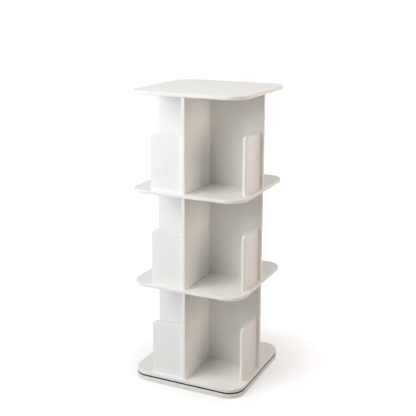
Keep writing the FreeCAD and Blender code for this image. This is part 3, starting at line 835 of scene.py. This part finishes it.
# %% Dividers and guards of the three tiers
for tier in TIERS:
    finish_piece(divider(tier, 2), f"{tier}_long_divider", "white_board")
    half_pattern = divider(tier, 1)
    guard_pattern = guard(tier)
    for side in ("rear", "front"):
        half = copies(half_pattern, [Matrix.Rotation(math.radians(QUARTERS[side]), 4, "Z")])
        finish_piece(half, f"{tier}_{side}_divider", "white_board")
    for side, turn in QUARTERS.items():
        piece = copies(guard_pattern, [Matrix.Rotation(math.radians(turn), 4, "Z")])
        finish_piece(piece, f"{tier}_{side}_guard", "white_board")
    bpy.data.objects.remove(half_pattern)
    bpy.data.objects.remove(guard_pattern)
print("dividers and guards made")

# %% [markdown]
# ## Turntable
# A flat bearing turntable is two aluminium rings, one inside the other, with a row of steel balls
# between them. Half of the race is a groove in each ring. The outer ring is screwed down into the
# base board's recess, and the inner ring is screwed up to the lower shelf. Each ring is turned from
# a profile that holds its groove, and its screw holes are then cut and countersunk.

# %% Rings
RACE_RADIUS = 110 * MM
RACE_HEIGHT = 17 * MM  # of the balls' middles, over the floor
GROOVE_RADIUS = 3.3 * MM
GROOVE_STEPS = 12
RING_CHAMFER = 0.4 * MM
RING_SIDES = 144
OUTER_RING_BORE = 111 * MM
INNER_RING_BORE = 95 * MM


def ring(node, wall, far_wall):
    """A ring between the radii of the wall with the groove and of its other wall."""
    low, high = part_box(node)
    outward = 1 if far_wall > wall else -1
    half_angle = math.degrees(math.acos(abs(wall - RACE_RADIUS) / GROOVE_RADIUS))
    middle = 0 if outward > 0 else 180
    groove = arc((RACE_RADIUS, RACE_HEIGHT), GROOVE_RADIUS,
                 middle + outward * half_angle, middle - outward * half_angle, GROOVE_STEPS)
    edge = outward * RING_CHAMFER
    profile = [
        (wall, low.z + RING_CHAMFER), (wall + edge, low.z),
        (far_wall - edge, low.z), (far_wall, low.z + RING_CHAMFER),
        (far_wall, high.z - RING_CHAMFER), (far_wall - edge, high.z),
        (wall + edge, high.z), (wall, high.z - RING_CHAMFER),
        *groove, (wall, low.z + RING_CHAMFER),
    ]
    return lathe(profile, sides=RING_SIDES)


low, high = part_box("turntable_outer_ring")
outer_ring = ring("turntable_outer_ring", OUTER_RING_BORE, high.x)
holes = []
for turn in QUARTERS.values():
    holes += sunk_hole((BASE_SCREW_CIRCLE, 0, high.z), (0, 0, -1), high.z - low.z + BEYOND, turn)
cut(outer_ring, holes)
finish_piece(outer_ring, "turntable_outer_ring", "turntable_aluminium", smooth_below=SMOOTH_TURNED)

low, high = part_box("turntable_inner_ring")
inner_ring = ring("turntable_inner_ring", high.x, INNER_RING_BORE)
holes = []
for turn in QUARTERS.values():
    face = (SHELF_SCREW_CIRCLE, 0, low.z)
    holes += sunk_hole(face, (0, 0, 1), high.z - low.z + BEYOND, SHELF_SCREW_ANGLE + turn)
cut(inner_ring, holes)
finish_piece(inner_ring, "turntable_inner_ring", "turntable_aluminium", smooth_below=SMOOTH_TURNED)
print(f"rings: {len(outer_ring.data.polygons)} and {len(inner_ring.data.polygons)} faces")

# %% [markdown]
# The cage is a thin nylon band with one round hole for each ball. It keeps the balls apart, and it
# rolls round with them at half the speed of the shelves.

# %% Cage and balls
BALL_COUNT = 24
BALL_RADIUS = 3 * MM
BALL_SEGMENTS, BALL_RINGS = 32, 16
BALL_HOLE = 3.1 * MM  # radius
CAGE_HALF_WALL = 0.7 * MM
CAGE_CHAMFER = 0.2 * MM
CAGE_SIDES = 192

low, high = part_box("ball_cage")
inside, outside = RACE_RADIUS - CAGE_HALF_WALL, RACE_RADIUS + CAGE_HALF_WALL
cage = lathe([
    (inside, low.z + CAGE_CHAMFER), (inside + CAGE_CHAMFER, low.z),
    (outside - CAGE_CHAMFER, low.z), (outside, low.z + CAGE_CHAMFER),
    (outside, high.z - CAGE_CHAMFER), (outside - CAGE_CHAMFER, high.z),
    (inside + CAGE_CHAMFER, high.z), (inside, high.z - CAGE_CHAMFER),
    (inside, low.z + CAGE_CHAMFER),
], sides=CAGE_SIDES)
ball_turns = [360 * number / BALL_COUNT for number in range(BALL_COUNT)]
cut(cage, [
    rod((inside - BEYOND, 0, RACE_HEIGHT), (outside + BEYOND, 0, RACE_HEIGHT), BALL_HOLE, turn=turn)
    for turn in ball_turns
])
finish_piece(cage, "ball_cage", "cage_plastic", smooth_below=SMOOTH_TURNED)

bpy.ops.object.select_all(action="DESELECT")
bpy.ops.mesh.primitive_uv_sphere_add(
    segments=BALL_SEGMENTS, ring_count=BALL_RINGS, radius=BALL_RADIUS,
)
ball = bpy.context.object
at_race = Matrix.Translation((RACE_RADIUS, 0, RACE_HEIGHT))
balls = copies(ball, [Matrix.Rotation(math.radians(turn), 4, "Z") @ at_race for turn in ball_turns])
bpy.data.objects.remove(ball)
finish_piece(balls, "bearing_balls", "bearing_steel", smooth_below=SMOOTH_BALL)
print(f"cage: {len(cage.data.polygons)} faces, balls: {len(balls.data.polygons)} faces")

# %% [markdown]
# ## Screws
# The boards are held by countersunk board screws with a hexagon socket. A screw is turned in one
# go: its flat head, the cone under it, a plain neck, the thinner core and the point. The socket is
# cut with a six-sided rod. The thread is a small tooth that a Screw modifier winds round the core,
# one pitch for each turn, and it is joined to the screw last. The pattern hangs down from the
# origin, which is the middle of its head's face.

# %% Pattern of a screw
SCREW_RADIUS = 2 * MM
SCREW_SIDES = 36
HEAD_RADIUS = 4 * MM
HEAD_CHAMFER = 0.2 * MM
HEAD_RIM = 0.15 * MM  # how far the chamfer goes down
CORE_RADIUS = 1.45 * MM
NECK = 5 * MM  # depth at which the neck ends
NECK_CONE = 0.5 * MM  # length of the step from the neck to the core
TIP = 4 * MM
PITCH = 1.4 * MM
TOOTH = (0.35, 0.47, 0.82)  # shares of the pitch at its top's start and end, and at its foot
THREAD_STEPS = 18
HEXAGON = 6
SOCKET_RADIUS = 1.5 * MM
SOCKET_DEPTH = 1.6 * MM


def thread(start, end):
    """A tooth wound round the axis, from one depth down to another."""
    turns = int((end - start) / PITCH) - 1
    low = PITCH - end
    top_start, top_end, foot = (low + share * PITCH for share in TOOTH)
    tooth = draw_line([
        (CORE_RADIUS, low), (SCREW_RADIUS, top_start), (SCREW_RADIUS, top_end), (CORE_RADIUS, foot),
    ])
    bpy.ops.object.mode_set(mode="OBJECT")
    winding = tooth.modifiers.new("winding", "SCREW")
    winding.angle = math.tau
    winding.screw_offset = PITCH
    winding.iterations = turns
    winding.steps = winding.render_steps = THREAD_STEPS
    winding.use_merge_vertices = True
    winding.use_normal_calculate = True
    bpy.ops.object.modifier_apply(modifier=winding.name)
    return tooth


def screw(length):
    """A countersunk screw that hangs from its head's face."""
    core_start = NECK + NECK_CONE
    shaft = lathe([
        (0, 0), (HEAD_RADIUS - HEAD_CHAMFER, 0), (HEAD_RADIUS, -HEAD_RIM),
        (SCREW_RADIUS, -SINK_DEPTH), (SCREW_RADIUS, -NECK),
        (CORE_RADIUS, -core_start), (CORE_RADIUS, TIP - length), (0, -length),
    ], sides=SCREW_SIDES)
    cut(shaft, [rod((0, 0, -SOCKET_DEPTH), (0, 0, BEYOND), SOCKET_RADIUS, sides=HEXAGON)])
    return join([shaft, thread(core_start, length - TIP)])


def placed(spots, tilt=None, turns=tuple(QUARTERS.values())):
    """Placements of a pattern: it is tilted, moved to each spot, and repeated by turns."""
    tilt = tilt or Matrix.Identity(4)
    return [Matrix.Rotation(math.radians(turn), 4, "Z") @ Matrix.Translation(spot) @ tilt
            for turn in turns for spot in spots]


HEAD_DOWN = Matrix.Rotation(math.pi, 4, "X")  # a pattern that hangs down then stands up
TO_BACK = Matrix.Rotation(-math.pi / 2, 4, "X")  # up becomes back
print("tools ready: thread, screw, placed")

# %% [markdown]
# The four screws of the outer ring point down into the base board, and the four of the inner ring
# point up into the lower shelf.

# %% Screws of the turntable
RING_SCREW_LENGTH = 16 * MM

ring_screw = screw(RING_SCREW_LENGTH)
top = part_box("turntable_outer_ring")[1].z
base_screws = copies(ring_screw, placed([(BASE_SCREW_CIRCLE, 0, top)]))
finish_piece(base_screws, "turntable_base_screws", "zinc_screws")
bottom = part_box("turntable_inner_ring")[0].z
turns = [SHELF_SCREW_ANGLE + turn for turn in QUARTERS.values()]
shelf_screws = copies(ring_screw, placed([(SHELF_SCREW_CIRCLE, 0, bottom)], HEAD_DOWN, turns))
finish_piece(shelf_screws, "turntable_shelf_screws", "zinc_screws")
bpy.data.objects.remove(ring_screw)
print(f"turntable screws: {len(base_screws.data.polygons)} faces each set")

# %% [markdown]
# The long screws go up through a shelf, and the guard screws go through a divider into the edge of
# a guard. Their lengths are the board that they pass and the bite behind it.

# %% Screws of the shelves and guards
board_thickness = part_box("middle_shelf")[1].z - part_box("middle_shelf")[0].z
floor_screw = screw(board_thickness + SCREW_BITE)
guard_screw = screw(2 * HALF_PANEL + GUARD_SCREW_BITE)
for tier in TIERS:
    low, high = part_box(f"{tier}_shelf")
    floor_screws = copies(floor_screw, placed([(x, y, low.z) for x, y in FLOOR_SCREWS], HEAD_DOWN))
    finish_piece(floor_screws, f"{tier}_floor_screws", "zinc_screws")
    heads = [(GUARD_MIDDLE, HALF_PANEL, high.z + height) for height in GUARD_SCREW_HEIGHTS]
    guard_screws = copies(guard_screw, placed(heads, TO_BACK))
    finish_piece(guard_screws, f"{tier}_guard_screws", "zinc_screws")
print(f"floor screws: {len(floor_screws.data.polygons)} faces a tier")
bpy.data.objects.remove(floor_screw)
bpy.data.objects.remove(guard_screw)

# %% [markdown]
# ## Screw caps
# White caps hide the guard screws' heads. A cap is moulded: a low button with a round rim and a
# faint dish, so that it catches a ring of light, and a stem underneath that grips the socket.

# %% Caps
CAP_RADIUS = 5 * MM
CAP_HEIGHT = 1.2 * MM
CAP_ROUND = 0.8 * MM
RIM_STEPS = 6
DISH = ((0, 0.14 * MM), (1.6 * MM, 0.12 * MM), (3.2 * MM, 0.05 * MM))  # radii and depths
STEM_RADIUS = 1.18 * MM
STEM_LENGTH = 1.2 * MM
STEM_CHAMFER = 0.2 * MM

dish = [(radius, CAP_HEIGHT - depth) for radius, depth in DISH]
rim = arc((CAP_RADIUS - CAP_ROUND, CAP_HEIGHT - CAP_ROUND), CAP_ROUND, 90, 0, RIM_STEPS)
cap = lathe([
    *dish, *rim, (CAP_RADIUS, 0), (STEM_RADIUS, 0), (STEM_RADIUS, STEM_CHAMFER - STEM_LENGTH),
    (STEM_RADIUS - STEM_CHAMFER, -STEM_LENGTH), (0, -STEM_LENGTH),
])
for tier in TIERS:
    floor_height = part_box(f"{tier}_shelf")[1].z
    faces = [(GUARD_MIDDLE, HALF_PANEL, floor_height + height) for height in GUARD_SCREW_HEIGHTS]
    caps = copies(cap, placed(faces, TO_BACK))
    finish_piece(caps, f"{tier}_screw_caps", "cap_plastic")
bpy.data.objects.remove(cap)
print(f"caps: {len(caps.data.polygons)} faces a tier")

# %% [markdown]
# ## Dowels
# Beech dowels join the dividers to the board above, and the half dividers to the long one. A dowel
# is turned with chamfered ends and gets straight flutes, which let the glue rise round it. Each
# dowel carries a note of its own place on the pattern, so that its grain runs along it however it
# is turned.

# %% Dowels
DOWEL_RADIUS = 3 * MM
DOWEL_CHAMFER = 0.6 * MM
FLUTES = 16
FLUTE_RADIUS = 0.3 * MM
FLUTE_SIDES = 8
FLUTE_OFFSET = 0.1 * MM  # how far outside the dowel's skin a flute's middle lies


def dowel(length):
    """A fluted pin that stands at the origin."""
    pin = lathe([
        (0, 0), (DOWEL_RADIUS - DOWEL_CHAMFER, 0), (DOWEL_RADIUS, DOWEL_CHAMFER),
        (DOWEL_RADIUS, length - DOWEL_CHAMFER), (DOWEL_RADIUS - DOWEL_CHAMFER, length), (0, length),
    ])
    groove = DOWEL_RADIUS + FLUTE_OFFSET
    cut(pin, [
        rod((groove, 0, -BEYOND), (groove, 0, length + BEYOND), FLUTE_RADIUS,
            sides=FLUTE_SIDES, turn=360 * flute / FLUTES)
        for flute in range(FLUTES)
    ])
    along = pin.data.attributes.new("grain_place", "FLOAT_VECTOR", "POINT")
    for corner, note in zip(pin.data.vertices, along.data):
        note.vector = corner.co
    return pin


top_dowel = dowel(DOWEL_IN_BOARD + DOWEL_IN_PANEL)
cross_dowel = dowel(2 * (HALF_PANEL + CROSS_BITE))
for tier in TIERS:
    low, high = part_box(f"{tier}_long_divider")
    stands = [(x, 0, high.z - DOWEL_IN_PANEL) for x in TOP_DOWELS]
    top_dowels = copies(top_dowel, placed(stands))
    finish_piece(top_dowels, f"{tier}_top_dowels", "beech_dowels")
    crossings = [(0, -HALF_PANEL - CROSS_BITE, low.z + height) for height in CROSS_HEIGHTS]
    cross_dowels = copies(cross_dowel, placed(crossings, TO_BACK, turns=(0,)))
    finish_piece(cross_dowels, f"{tier}_cross_dowels", "beech_dowels")
bpy.data.objects.remove(top_dowel)
bpy.data.objects.remove(cross_dowel)
print(f"top dowels: {len(top_dowels.data.polygons)} faces a tier")

# %% [markdown]
# ## Foot pads
# Four rubber pads lift the base board off the floor. Each is a low disc with a rounded foot and two
# rings pressed into its underside, which grip the floor.

# %% Foot pads
PAD_RADIUS = 15 * MM
PAD_HEIGHT = 2 * MM
PAD_PLACE = 155 * MM  # from the axis, to the right and to the back
PAD_SIDES = 64
PRESSED_RINGS = (5 * MM, 10 * MM)  # radii
PRESSED_RING = ((-1.0, 0), (-0.6, 0.5), (0.6, 0.5), (1.0, 0))  # its section, in millimetres
PAD_FOOT = ((-0.8, 0), (-0.3, 0.15), (0, 0.6))  # section of the round at the rim, in millimetres


def section(radius, steps):
    """Points of a profile at a radius, from a section written in millimetres."""
    return [(radius + aside * MM, height * MM) for aside, height in steps]


pressed = [point for radius in PRESSED_RINGS for point in section(radius, PRESSED_RING)]
pad = lathe([
    (0, 0), *pressed, *section(PAD_RADIUS, PAD_FOOT), (PAD_RADIUS, PAD_HEIGHT), (0, PAD_HEIGHT),
], sides=PAD_SIDES)
pads = copies(pad, placed([(PAD_PLACE, PAD_PLACE, 0)]))
bpy.data.objects.remove(pad)
finish_piece(pads, "foot_pads", "pad_rubber")
print(f"foot pads: {len(pads.data.polygons)} faces")

# %% [markdown]
# ## Floor and surroundings
# The bookcase stands on a plain pale floor in white surroundings. To the camera the floor glows a
# little, so that it joins the white behind it, and it glows less near the bookcase, where the soft
# shadow under the base lies. The glow and the white are only seen, directly, in a gloss or through
# glass, and they add no light to the object. The light that the surroundings do add is faint and
# warm, as from the walls of a room.

# %% Floor
def seen_rays(tree):
    """One for rays that see the surroundings directly, in a gloss or through glass."""
    path = add_node(tree, "ShaderNodeLightPath").outputs
    straight_or_gloss = add_node(tree, "ShaderNodeMath", {
        0: path["Is Camera Ray"], 1: path["Is Glossy Ray"],
    })
    return add_node(tree, "ShaderNodeMath", {
        0: straight_or_gloss.outputs[0], 1: path["Is Transmission Ray"],
    }, use_clamp=True).outputs[0]


FLOOR_SIZE = 16  # metres, enough to fill every view
FLOOR_GAP = 0.05 * MM  # keeps the pads' feet and the floor from sharing one plane
GLOW_START, GLOW_FULL = 0.2, 0.7  # metres from the axis
GLOW_AT_START = 0.48  # share of the full glow

material, tree = new_finish("pale_floor")
place = add_node(tree, "ShaderNodeTexCoord").outputs["Object"]
distance = add_node(tree, "ShaderNodeVectorMath", {0: place}, operation="LENGTH").outputs["Value"]
lift = add_node(tree, "ShaderNodeMapRange", {
    "Value": distance, "From Min": GLOW_START, "From Max": GLOW_FULL, "To Min": GLOW_AT_START,
    "To Max": 1.0,
}).outputs[0]
strength = add_node(tree, "ShaderNodeMath", {
    0: lift, 1: seen_rays(tree),
}, operation="MULTIPLY").outputs[0]
glow = add_node(tree, "ShaderNodeEmission", {"Color": linear("FFFFFF"), "Strength": strength})
matt = add_node(tree, "ShaderNodeBsdfDiffuse", {"Color": linear("C0C0BF")})
both = add_node(tree, "ShaderNodeAddShader", {0: matt.outputs[0], 1: glow.outputs[0]})
add_node(tree, "ShaderNodeOutputMaterial", {"Surface": both.outputs[0]})
bpy.ops.object.select_all(action="DESELECT")
bpy.ops.mesh.primitive_plane_add(size=FLOOR_SIZE, location=(0, 0, -FLOOR_GAP))
floor = bpy.context.object
floor.name = "floor"
floor.data.materials.append(material)
floor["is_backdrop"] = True
print("floor laid")

# %% Surroundings
AMBIENT = [0.075, 0.055, 0.042, 1]  # the faint warm light from all round
world = bpy.data.worlds.new("studio")
bpy.context.scene.world = world
world.use_nodes = True
tree = world.node_tree
tree.nodes.clear()
shade = add_node(tree, "ShaderNodeMix", {
    0: seen_rays(tree), COLOUR_A: AMBIENT, COLOUR_B: linear("FFFFFF"),
}, data_type="RGBA").outputs[COLOUR_OUT]
sky = add_node(tree, "ShaderNodeBackground", {"Color": shade, "Strength": 1.0})
add_node(tree, "ShaderNodeOutputWorld", {"Surface": sky.outputs[0]})
print("surroundings lit")

# %% [markdown]
# ## Lamps
# Large square lamps give soft shadows and an even white. The key lamp, high on the front left,
# lights the front and the top. The low key, a little cooler, fills the fronts of the lower tiers.
# These two make no gloss, as behind a polarising filter, or the level faces would mirror them and
# go white, seen from behind at a low angle. The warm side lamp gives the right side its tone,
# dimmer than the front, so that the two sides part at the arms' ends. The back lamp is for views
# from behind; it stands low, out of the top board's gloss. The overhead lamp levels the light on
# the top board and on the shelves' rims.

# %% Lamps
def softbox(name, turn, rise, distance, aim_height, size, watts, colour, gloss=True):
    """A square lamp round the bookcase: turned from the front, raised, and aimed at its axis.

    The two angles are in degrees, and the distance, aim and size in metres.
    """
    turn, rise = math.radians(turn), math.radians(rise)
    flat = math.cos(rise)
    towards = Vector((math.sin(turn) * flat, -math.cos(turn) * flat, math.sin(rise)))
    bpy.ops.object.light_add(type="AREA", location=Vector((0, 0, aim_height)) + towards * distance)
    lamp = bpy.context.object
    lamp.name = name
    lamp.rotation_euler = (-towards).to_track_quat("-Z", "Y").to_euler()
    lamp.visible_camera = False
    lamp.visible_glossy = gloss
    lamp.data.size = size
    lamp.data.energy = watts
    lamp.data.color = colour


softbox("key", -27, 30, 2.4, 0.8, 1.6, 34.5, (0.95, 1.0, 0.98), gloss=False)
softbox("low_key", -44, 10, 2.4, 0.8, 1.6, 28.5, (0.87, 0.90, 1.0), gloss=False)
softbox("side", 90, 12, 2.0, 0.75, 1.4, 17.6, (1.0, 0.87, 0.785))
softbox("back", 174, 10, 2.6, 0.4, 1.6, 20.0, (1.0, 1.0, 1.0))
softbox("overhead", 0, 89, 1.8, 0.9, 1.6, 13.5, (1.0, 1.0, 1.0))
bpy.context.scene.view_settings.view_transform = "Standard"
print("lamps hung")

# %% [markdown]
# ## Size
# The box of the finished bookcase is printed.

# %% Size
low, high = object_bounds()
print("visual box:", [round(number, 4) for number in (*low, *high)])
